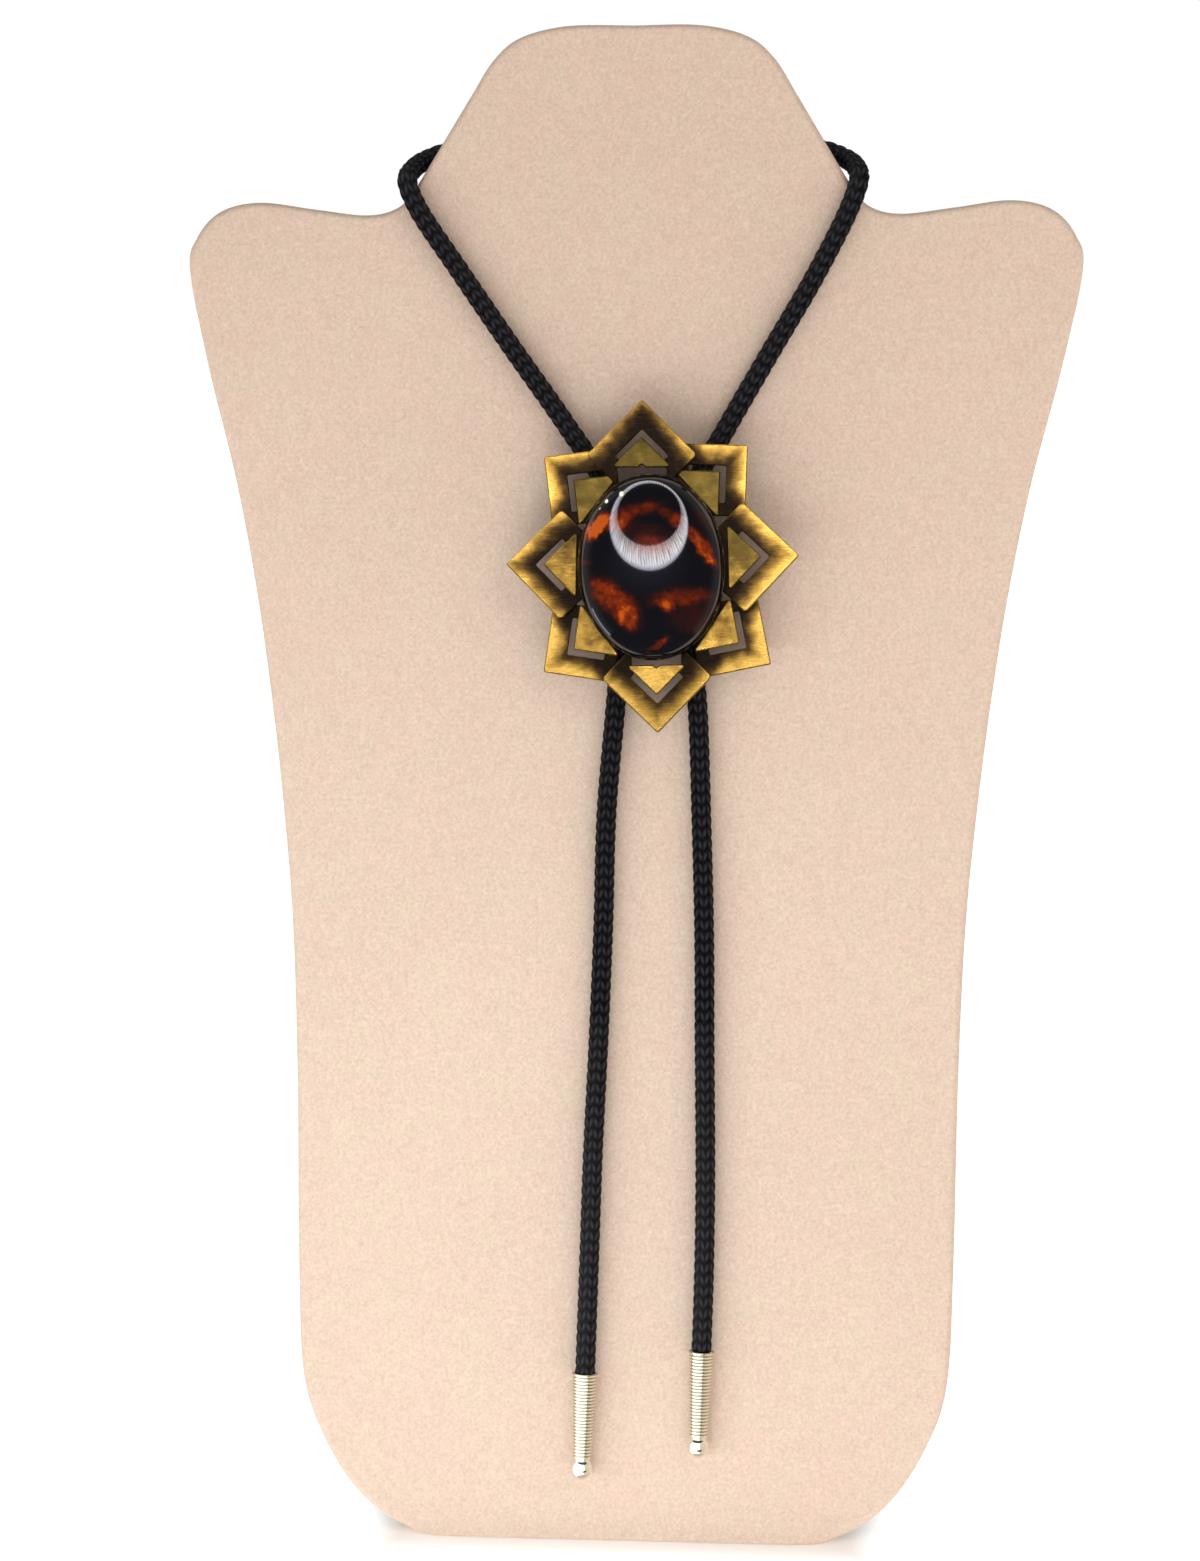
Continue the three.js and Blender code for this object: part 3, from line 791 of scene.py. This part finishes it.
def cord_material():
    """Black nylon: strands of fine filaments that shine a little, dull in the grooves. Its colour
    is painted lighter on the strands' tops and near black in the grooves: painted highlight and
    painted shade.
    """
    material, start = new_material("black_nylon")
    spot = millimetres(start)
    around, along = start.add("UVMap", {"uv_map": "strands"}).parts()[:2]
    across = ((around * WALES).apply("FRACT") - 0.5).apply("ABSOLUTE") * 2
    phase = (along + across * STITCH_SLANT).apply("FRACT")
    strand = (phase * math.pi).apply("SINE")
    leg = (across * math.pi).apply("SINE")
    height = strand * (leg * 0.65 + 0.35)
    fibre = (phase * 44).apply("SINE")
    fuzz = spot.noise(7, 2)
    # Painted highlight and shade: lighter colour on the strands' tops, near black down in the
    # grooves.
    color = (height * height * 1.05 + (fuzz - 0.5) * 0.5).ease(0.0, 1.0)
    color = color.blend((0.001, 0.001, 0.001), (0.026, 0.024, 0.032))
    relief = (fibre * 0.25 + fuzz * 0.5 + height).bump(0.5, 0.00015)
    finish_material(start, {
        "Base Color": color, "Roughness": 0.6 - height * 0.12, "Specular IOR Level": 0.14,
        "Normal": relief,
    })
    return material


def nickel_material():
    """Bright warm nickel plating: tarnish in the grooves and faint handling marks. The piece's map
    counts the ridges along the tip, and a groove lies at each whole number."""
    material, start = new_material("warm_nickel")
    spot = millimetres(start)
    marks = spot.noise(1.3, 4)
    ridge = start.add("UVMap", {"uv_map": "strands"}).parts()[1]
    groove = 1 - (ridge - ridge.apply("ROUND")).apply("ABSOLUTE").ease(0.12, 0.4)
    clean = marks.blend((0.86, 0.85, 0.78), (0.95, 0.94, 0.9))
    finish_material(start, {
        "Base Color": groove.blend(clean, (0.48, 0.45, 0.33)),
        "Metallic": 1.0, "Roughness": marks * 0.1 + 0.06,
        "Normal": spot.noise(5, 2).bump(0.05, 0.00005),
    })
    return material


def slide_spot(start):
    """Place in the slide's own millimetres."""
    turn = Matrix.Rotation(math.pi / 2 - LEAN, 4, "X") @ Matrix.Rotation(SLIDE_TURN, 4, "Z")
    return start.add("Mapping", {"vector_type": "TEXTURE"}, {
        "Vector": start.add("TexCoord", out=3),
        "Location": Vector(slide_place([(0, 0, 0)])[0]),
        "Rotation": turn.to_euler(), "Scale": (MM, MM, MM),
    })


def from_rim(start, spot, petals, side):
    """Distances in mm from the outer edges of the petal that the place lies on: from the nearer
    edge, and from the farther one, which is the way along the arm from the petal's point."""
    x, y = spot.parts()[:2]
    near = far = 0.0
    for corner_x, corner_y, degrees, windowed in petals:
        left, right = (
            (corner_x - x) * math.cos(way) + (corner_y - y) * math.sin(way)
            for way in (math.radians(degrees + 45), math.radians(degrees - 45))
        )
        low, high = left.least(right), left.most(right)
        inside = low.above(-0.2) * (1 - high.above(side + 0.2))
        near, far = (low * inside).most(near), (high * inside).most(far)
    return near, far


def velour_material():
    """Short-pile velour: fine nap, faint brushed streaks, and soft patches that lean to pink or to
    cream. A painted shade darkens it under the slide's plates and round the slide's middle."""
    material, start = new_material("pinkish_velour")
    spot = millimetres(start)
    nap = spot.noise(1.5, 4, 0.75)
    mottle = spot.noise(0.5, 3)
    cloudy = spot.noise(0.018, 2)
    blush = spot.noise(0.11, 4)
    squashed = start.add("Mapping", {}, {"Vector": spot, "Scale": (1, 1, 0.08)})
    brushed = squashed.noise(0.9, 3)
    shade = (nap - 0.5) * 2.6 + (mottle - 0.5) * 0.5 + (brushed - 0.5) * 0.25
    shade = shade + (cloudy - 0.5) * 0.3 + 0.5
    cream = shade.blend((0.64, 0.48, 0.36), (0.83, 0.635, 0.495))
    pink = shade.blend((0.65, 0.465, 0.36), (0.845, 0.62, 0.495))
    color = blush.ease(0.36, 0.66).blend(cream, pink)
    slide = slide_spot(start)
    x, y = slide.parts()[:2]
    # Painted shade: the colour darkens under the slide's petals and round its middle, where the
    # slide shades the board; it shows through the slots and gaps.
    front = from_rim(start, slide, FRONT_PETALS, PETAL_SIDE)[0].ease(1.6, 4.0)
    rear = from_rim(start, slide, REAR_PETALS, REAR_PETAL_SIDE)[0].ease(1.6, 4.0)
    middle = 1 - (x * x + y * y).ease(380, 560)
    painted_slide_shade = front.most(rear).most(middle) * 0.62
    color = painted_slide_shade.blend(color, (0.16, 0.115, 0.1))
    relief = (nap * 0.7 + mottle * 0.3).bump(0.6, 0.0003)
    finish_material(start, {
        "Base Color": color, "Roughness": 0.95, "Specular IOR Level": 0.1,
        "Sheen Weight": 0.12, "Sheen Roughness": 0.5, "Sheen Tint": (1, 0.93, 0.88, 1),
        "Normal": relief,
    })
    return material


def brass_material(name, petals, side, level, end):
    """Antiqued brass: bright rubbed rims that sink softly to a brown patina beside the slots. The
    arms' ends are rubbed bright too, or, by end, darken where they pass under the petals above,
    patina with painted shade. The raised triangles are olive above and gold below, and fine rubbing
    marks run over all of it."""
    material, start = new_material(name)
    spot = slide_spot(start)
    near, far = from_rim(start, spot, petals, side)
    x, up, height = spot.parts()
    cloudy = spot.noise(0.12, 2)
    blotch = spot.noise(0.5, 4)
    fine = spot.noise(3.0, 3)
    stretch = {"Rotation": (0, 0, math.radians(38)), "Scale": (0.35, 6, 1)}
    grain = start.add("Mapping", {}, {"Vector": spot, **stretch}).noise(1.3, 4)
    raised = height.ease(level + PLATE + 0.15, level + PLATE + 0.45)
    if end == "bright":
        near = near.least(side + 0.3 - far + near * 0.75)
    else:
        # Rear arms darken towards their ends, where they pass under the front petals: patina and
        # painted shade.
        near = near + far.ease(side * 0.55, side * 0.9) * 3.6 - 1.2
    dull = up.ease(14, 30) * 1.1 - x.ease(16, 30) * 1.6 - (-up).ease(18, 34) * 1.3
    sink = near + (cloudy - 0.5) * 4.6 + (blotch - 0.5) * 2.2 + dull
    patina = sink.ease(-1.1, 4.7)
    triangle = up.ease(-31, 7) * 0.46 + (blotch - 0.5) * 0.7 + (cloudy - 0.5) * 0.9
    shade = raised.math("MULTIPLY_ADD", raised, triangle - patina, patina)
    shade = shade + (grain - 0.5) * 0.55 + (fine - 0.5) * 0.2
    rub = start.add("Attribute", {"attribute_name": "rub"}, (), 2)
    shade = shade - rub * (blotch.ease(0.3, 0.6) * 0.35 + 0.1)
    stops = [
        (0.0, (0.52, 0.32, 0.066)), (0.18, (0.32, 0.195, 0.036)), (0.42, (0.155, 0.09, 0.019)),
        (0.68, (0.046, 0.027, 0.009)), (1.0, (0.01, 0.0065, 0.0045)),
    ]
    gold = shade.ramp(stops)
    olive = (raised * (up + x * 0.3).ease(-6, 12) * 0.75).blend(gold, (0.062, 0.048, 0.011))
    finish_material(start, {
        "Base Color": olive, "Metallic": 0.9, "Specular IOR Level": 0.05,
        "Roughness": shade * 0.12 + grain * 0.12 + 0.21,
        "Normal": (grain * 0.5 + fine * 0.3 + blotch * 0.4).bump(0.2, 0.0001),
    })
    return material


def dark_brass_material():
    """Blackened brass, rubbed through in spots."""
    material, start = new_material("dark_brass")
    spot = millimetres(start)
    wear = spot.noise(0.8, 4)
    finish_material(start, {
        "Base Color": wear.ease(0.5, 0.72).blend((0.035, 0.03, 0.025), (0.34, 0.27, 0.14)),
        "Metallic": 1.0, "Roughness": wear * 0.15 + 0.16,
        "Normal": spot.noise(3, 3).bump(0.1, 0.0001),
    })
    return material


# Orange patches of the stone: centre, half-length and half-width in slide mm, turn in degrees and
# strength.
PATCHES = [
    (-10.6, 8.4, 3.6, 1.8, 43, 1.4),
    (-6.0, 9.9, 3.4, 2.2, 24, 0.8),
    (-1.6, 12.0, 4.6, 1.3, 12, 0.6),
    (3.6, 11.0, 2.8, 1.2, -20, 0.45),
    (5.9, 9.6, 1.8, 1.5, -45, 0.66),
    (0.7, 4.2, 5.4, 2.2, -8, 0.6),
    (-1.0, 7.6, 5.6, 1.6, -10, 0.26),
    (10.6, 3.6, 5.2, 1.7, -52, 0.8),
    (12.3, 1.0, 1.8, 1.2, -50, 1.0),
    (-7.5, -6.9, 6.4, 2.7, -44, 0.78),
    (-5.0, -9.9, 3.2, 2.2, -60, 0.86),
    (-11.0, -3.4, 2.2, 1.3, -30, 0.84),
    (6.4, -6.8, 6.4, 2.1, 0, 0.56),
    (3.0, -8.0, 2.4, 1.4, -35, 0.84),
    (1.1, -16.2, 2.2, 0.7, 28, 0.65),
    (-13.4, 1.5, 1.6, 0.5, -10, 0.45),
    (11.4, 9.0, 1.2, 3.0, 25, 0.3),
    (8.6, -11.0, 4.6, 3.2, 0, 0.24),
]


def stone_material():
    """Tortoiseshell: near-black with soft-edged orange-red patches, under a deep gloss."""
    material, start = new_material("tortoiseshell")
    spot = slide_spot(start)
    bent = spot
    for scale, reach in ((0.22, 3.4), (1.1, 1.3)):
        ripple = spot.noise(scale, 3, out=1)
        push = start.vector("SUBTRACT", (ripple, (0.5, 0.5, 0.5)))
        bent = start.vector("ADD", (bent, start.vector("SCALE", {0: push, 3: reach})))
    glow = 0.0
    for x, y, length, width, degrees, strength in PATCHES:
        local = start.add("Mapping", {"vector_type": "TEXTURE"}, {
            "Vector": bent, "Location": (x, y, 0), "Rotation": (0, 0, math.radians(degrees)),
            "Scale": (length, width, 1000),
        })
        away = start.vector("LENGTH", (local,), 1)
        glow = ((1 - away.ease(0.45, 1.5)) * strength).most(glow)
    mottle = spot.noise(0.45, 5, 0.6)
    glow = glow * (mottle.ease(0.28, 0.68) * 0.5 + 0.58)
    stops = [
        (0.0, (0.0022, 0.0018, 0.004)), (0.22, (0.018, 0.003, 0.002)),
        (0.48, (0.085, 0.0075, 0.001)), (0.74, (0.22, 0.022, 0.001)), (1.0, (0.62, 0.1, 0.005)),
    ]
    finish_material(start, {
        "Base Color": glow.ramp(stops), "Roughness": 0.05, "Specular IOR Level": 1.0,
        "Normal": spot.noise(0.25, 1).bump(0.02, 0.0001),
    })
    return material


# Stage and light

def glow_material(name, strength, stops, ribs=0):
    """Lamp surface, dark but for its glow. The colour comes from the stops, up the rows of the
    sheet's map, and ribs is how many bright ribs it has along the columns, weaker at the top."""
    material, start = new_material(name)
    along, across = start.add("UVMap", {"uv_map": "sheet"}).parts()[:2]
    if ribs:
        spread = start.add("CombineXYZ", {}, (along * ribs, across * 1.6, 0.0))
        wobble = spread.noise(0.6, 2)
        rib = ((along * ribs + wobble * 1.6) * (2 * math.pi)).apply("SINE") * 0.5 + wobble
        below = ((along - 0.77) * (2 * math.pi)).apply("COSINE")
        across = across + (rib - 0.5) * 0.2
    color = across.ramp(stops)
    if ribs:
        color = rib.ease(0.0, 0.8).blend((0.4, 0.38, 0.39), (1, 1, 1)).tint(color)
        color = below.ease(-0.2, 0.8).blend((0.66, 0.66, 0.68), (1, 1, 1)).tint(color)
    finish_material(start, {
        "Base Color": (0, 0, 0, 1), "Roughness": 1.0, "Specular IOR Level": 0.0,
        "Emission Color": color, "Emission Strength": strength,
    })
    return material


# Table in metres, and the painted shade on it under the board in mm
TABLE_HALF = 3.0
TABLE_DROP = 0.0002
SHADE_HALF_X = 47
SHADE_Y = -24
SHADE_HALF_Y = 22
SHADE_FADE = 12


def make_floor():
    """Plain white table that glows, with a soft grey shadow painted into its glow under the board's
    foot.
    """
    half = TABLE_HALF
    points = np.array([(-half, -half, 0), (half, -half, 0), (half, half, 0), (-half, half, 0)])
    points[:, 2] -= TABLE_DROP
    floor = mesh_object("table", points, np.arange(4), np.array([0]), smooth=False)
    material, start = new_material("white_table")
    x, y = millimetres(start).parts()[:2]
    # Painted shadow: the table's glow falls to grey in a soft rectangle in front of the board's
    # foot.
    side = x.apply("ABSOLUTE") - SHADE_HALF_X
    front = (y - SHADE_Y).apply("ABSOLUTE") - SHADE_HALF_Y
    clear_of_painted_shade = side.most(front).ease(0, SHADE_FADE)
    finish_material(start, {
        "Base Color": (0.86, 0.84, 0.82, 1), "Roughness": 0.8, "Emission Strength": 1.0,
        "Emission Color": clear_of_painted_shade.blend((0.27, 0.25, 0.23), (0.85, 0.85, 0.85)),
    })
    give(floor, material)
    floor.visible_glossy = False


def lamp_sheet(name, grid, material):
    """Stage lamp seen only in reflections, from a grid of places; its map runs 0 to 1 along the
    columns and up the rows."""
    rows, columns = grid.shape[:2]
    here = np.arange(rows * columns).reshape(rows, columns)
    quads = strip_quads(here[:, :-1], here[:, 1:])
    sheet = mesh_object(name, grid.reshape(-1, 3), quads.ravel(), np.arange(len(quads)) * 4)
    share = np.stack(np.meshgrid(np.linspace(0, 1, columns), np.linspace(0, 1, rows)), axis=-1)
    add_map(sheet, "sheet", share.reshape(-1, 2)[quads.ravel()])
    give(sheet, material)
    sheet.visible_camera = False
    sheet.visible_diffuse = False
    sheet.visible_shadow = False


def mirrored(spots, distance):
    """Where a lamp stands for the camera to see it at these places on the stone. The dome's normal
    there is its ellipsoid's slope, and the lamp lies along 2(n·v)n - v, with v towards the
    camera."""
    x, y = spots[..., 0], spots[..., 1]
    level = np.sqrt(1 - (x / STONE_SEMI_X) ** 2 - (y / STONE_SEMI_Y) ** 2)
    dome = np.stack([x, y, STONE_LEVEL + STONE_GIRDLE + STONE_RISE * level], axis=-1)
    normal = np.stack([
        STONE_RISE * x / STONE_SEMI_X ** 2 / level,
        STONE_RISE * y / STONE_SEMI_Y ** 2 / level,
        np.ones_like(x),
    ], axis=-1)
    base = slide_place(dome)
    normal = unit(slide_place(dome + normal) - base)
    view = unit(CAMERA_SPOT - base)
    away = 2 * np.sum(normal * view, axis=-1)[..., None] * normal - view
    return base + away * distance * MM


def oval(centre, semi_axes, count, turns=(0, 1)):
    """Places round an oval, or over a part of its turn."""
    angle = np.linspace(turns[0], turns[1], count) * 2 * np.pi
    return np.array(centre) + np.stack([np.cos(angle), np.sin(angle)], axis=1) * semi_axes


def between(inner, outer, rows):
    """Grid of rows from one line of places to another."""
    share = np.linspace(0, 1, rows)[:, None, None]
    return inner[None] * (1 - share) + outer[None] * share


def one_color(color):
    """Stops of a lamp of one colour."""
    return [(0.0, color), (1.0, color)]


# Lamps that show in the stone: their places there and half-axes in slide mm, and their distances
# from it in mm
RING_CENTRE = (0.1, 8.35)
RING_SEMI_AXES = (8.15, 9.45)
RING_TURN = math.radians(4)
RING_HOLE_CENTRE = (0.25, 10.6)
RING_HOLE_SEMI_AXES = (6.6, 6.55)
RING_RIBS = 88
RING_DISTANCE = 620
RING_STOPS = [(0.0, (0.3, 0.27, 0.27)), (0.3, (0.6, 0.54, 0.55)), (0.7, (0.95, 0.93, 0.97)),
              (0.9, (0.85, 0.87, 0.95)), (1.0, (0.2, 0.21, 0.27))]
HAZE_CENTRE = (-0.6, 0.6)
HAZE_SEMI_AXES = (9.4, 7.4)
HAZE_DISTANCE = 950
HAZE_STOPS = [(0.0, (0.75, 0.75, 1)), (0.5, (0.55, 0.55, 0.72)), (1.0, (0.3, 0.3, 0.3))]
SPOTS = [(-5.4, 15.2, 0.55), (-8.6, 13.9, 0.42), (-10.2, 12.6, 0.36)]
SPOT_DISTANCE = 560
RIM_SEMI_AXES = [(13.75, 17.7), (14.25, 18.4)]
RIM_TURNS = (0.575, 0.69)
RIM_DISTANCE = 600
RIM_STOPS = [(0.0, (0.03, 0.03, 0.03)), (0.5, (0.75, 0.85, 1)), (1.0, (0.03, 0.03, 0.03))]


def make_reflected_lamps():
    """The lamps that show in the stone: a ribbed ring, broad below and thin above, a soft haze
    under it, three warm spots and a cool rim light."""
    outer = oval((0, 0), RING_SEMI_AXES, 181) @ turning(RING_TURN) + RING_CENTRE
    inner = oval(RING_HOLE_CENTRE, RING_HOLE_SEMI_AXES, 181)
    lamp = glow_material("ring_glow", 11.5, RING_STOPS, RING_RIBS)
    lamp_sheet("ring_lamp", mirrored(between(inner, outer, 14), RING_DISTANCE), lamp)
    haze = between(oval((0, 0), (0.02, 0.02), 65), oval(HAZE_CENTRE, HAZE_SEMI_AXES, 65), 16)
    lamp = glow_material("haze_glow", 0.2, HAZE_STOPS)
    lamp_sheet("haze_lamp", mirrored(haze, HAZE_DISTANCE), lamp)
    lamp = glow_material("spot_glow", 14, one_color((1, 0.93, 0.7)))
    for index, (x, y, size) in enumerate(SPOTS):
        spot = between(oval((x, y), (0.01, 0.01), 25), oval((x, y), (size * 0.8, size), 25), 4)
        lamp_sheet(f"spot_lamp_{index}", mirrored(spot, SPOT_DISTANCE), lamp)
    arc = between(*(oval((0, 0), semi_axes, 33, RIM_TURNS) for semi_axes in RIM_SEMI_AXES), 7)
    lamp_sheet("rim_lamp", mirrored(arc, RIM_DISTANCE), glow_material("rim_glow", 3, RIM_STOPS))


# Bent card round the tips, in the leaning frame's mm
CARD_AXIS = (5, 2.8)
CARD_RADIUS = 75
CARD_SPAN = (-98.0, 97.0)
CARD_TURN = (-105, 100)
CARD_STOPS = [(0.0, (1, 0.99, 0.93)), (0.62, (1, 0.99, 0.93)), (0.66, (0.36, 0.31, 0.23)),
              (1.0, (0.38, 0.33, 0.25))]

# Flat cards there: left and right, the (up, out) of both edges, glow and colour.
FLAT_CARDS = {
    "dark_slit": (8, 60, (2, 52), (-22, 52), 1.0, (0.02, 0.01, 0)),
    "low_card": (-70, 80, (-98, -30), (-98, 78), 0.8, (0.8, 0.66, 0.52)),
    "black_flag": (-90, 100, (112, -20), (112, 90), 1.0, (0.06, 0.06, 0.06)),
}


def make_tip_cards():
    """Cards that show in the tips: a bent one, bright on the left and grey on the right, a beige
    one below, a dark slit at the right, and a black flag above, which keeps the bent card out of
    the stone."""
    angle = np.radians(np.linspace(*CARD_TURN, 60))
    across, up = np.meshgrid(CARD_AXIS[0] + CARD_RADIUS * np.sin(angle), CARD_SPAN, indexing="ij")
    out = np.broadcast_to((CARD_AXIS[1] + CARD_RADIUS * np.cos(angle))[:, None], up.shape)
    bent = place(np.stack([across, up, out], axis=-1))
    lamp_sheet("tip_card", bent, glow_material("card_glow", 2.1, CARD_STOPS))
    for name, (left, right, first, second, glow, color) in FLAT_CARDS.items():
        grid = place([[(side, *first), (side, *second)] for side in (left, right)])
        lamp_sheet(name, grid, glow_material(f"{name}_glow", glow, one_color(color)))


def make_softbox(name, spot, aim, size, power, color=(1, 1, 1)):
    """Area lamp at a place in the leaning frame, turned to a target there and not mirrored."""
    data = bpy.data.lights.new(name, "AREA")
    data.shape = "RECTANGLE"
    data.size, data.size_y = size
    data.energy = power
    data.color = color
    lamp = bpy.data.objects.new(name, data)
    start, finish = (Vector(end) for end in place([spot, aim]))
    lamp.location = start
    lamp.rotation_euler = (finish - start).to_track_quat("-Z", "Y").to_euler()
    lamp.visible_glossy = False
    bpy.context.collection.objects.link(lamp)


def make_world():
    """White surroundings: white to the camera, dimmer as a light, and in reflections dark in front
    of the display and grey beside it."""
    world = bpy.data.worlds.new("white_room")
    bpy.context.scene.world = world
    world.use_nodes = True
    world.node_tree.nodes.clear()
    start = Maths(world.node_tree)
    seen = start.add("LightPath")
    glossy = Maths(start.tree, seen.socket.node.outputs["Is Glossy Ray"])
    way = start.add("TexCoord")
    ahead = start.vector("DOT_PRODUCT", (way, tuple(OUT)), 1)
    beside = 1 - ahead.ease(0.0, 0.5)
    strength = seen * 0.6 + glossy * (beside * 0.16 - 0.36) + 0.42
    glow = start.add("Background", {}, {"Color": (1, 1, 1, 1), "Strength": strength})
    start.add("OutputWorld", {}, {"Surface": glow})


bpy.context.scene.view_settings.view_transform = "Standard"

CAMERA_SPOT = make_camera()
cord, cord_centre, cord_run = make_cord()
left_tip = make_tip("ridged_tip_left", "left_tip", CORD_ROUTE[0], CORD_ROUTE[1])
right_tip = make_tip("ridged_tip_right", "right_tip", CORD_ROUTE[-1], CORD_ROUTE[-2])

board = make_board()
stone = make_stone()
cup = make_cup()

card = card_material()
nickel = nickel_material()
dark_brass = dark_brass_material()
give(board, velour_material())
give(cord, cord_material())
give(left_tip, nickel)
give(right_tip, nickel)
give(stone, stone_material())
give(cup, dark_brass)
for node, material in (
    ("back_panel", card), ("easel_leg", card), ("cord_clip", dark_brass),
):
    give(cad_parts[node], material)
stars = [
    ("rear", REAR_PETALS, REAR_PETAL_SIDE, REAR_STAR_LEVEL, "painted_shade_under_front"),
    ("front", FRONT_PETALS, PETAL_SIDE, FRONT_STAR_LEVEL, "bright"),
]
for name, petals, side, level, end in stars:
    star = make_star(f"{name}_plates", f"{name}_star", petals, side, level)
    give(star, brass_material(f"{name}_brass", petals, side, level, end))

make_floor()
make_reflected_lamps()
make_tip_cards()
make_world()
make_softbox("key_right", (420, 480, 560), (0, 170, 0), (0.6, 0.6), 1.09, (1, 0.97, 0.93))
make_softbox("fill_left", (-520, 200, 600), (0, 150, 0), (0.6, 0.6), 0.14)
make_softbox("low_fill", (-130, 10, 280), (-30, 0, 0), (0.55, 0.12), 0.64, (0.78, 0.91, 1))
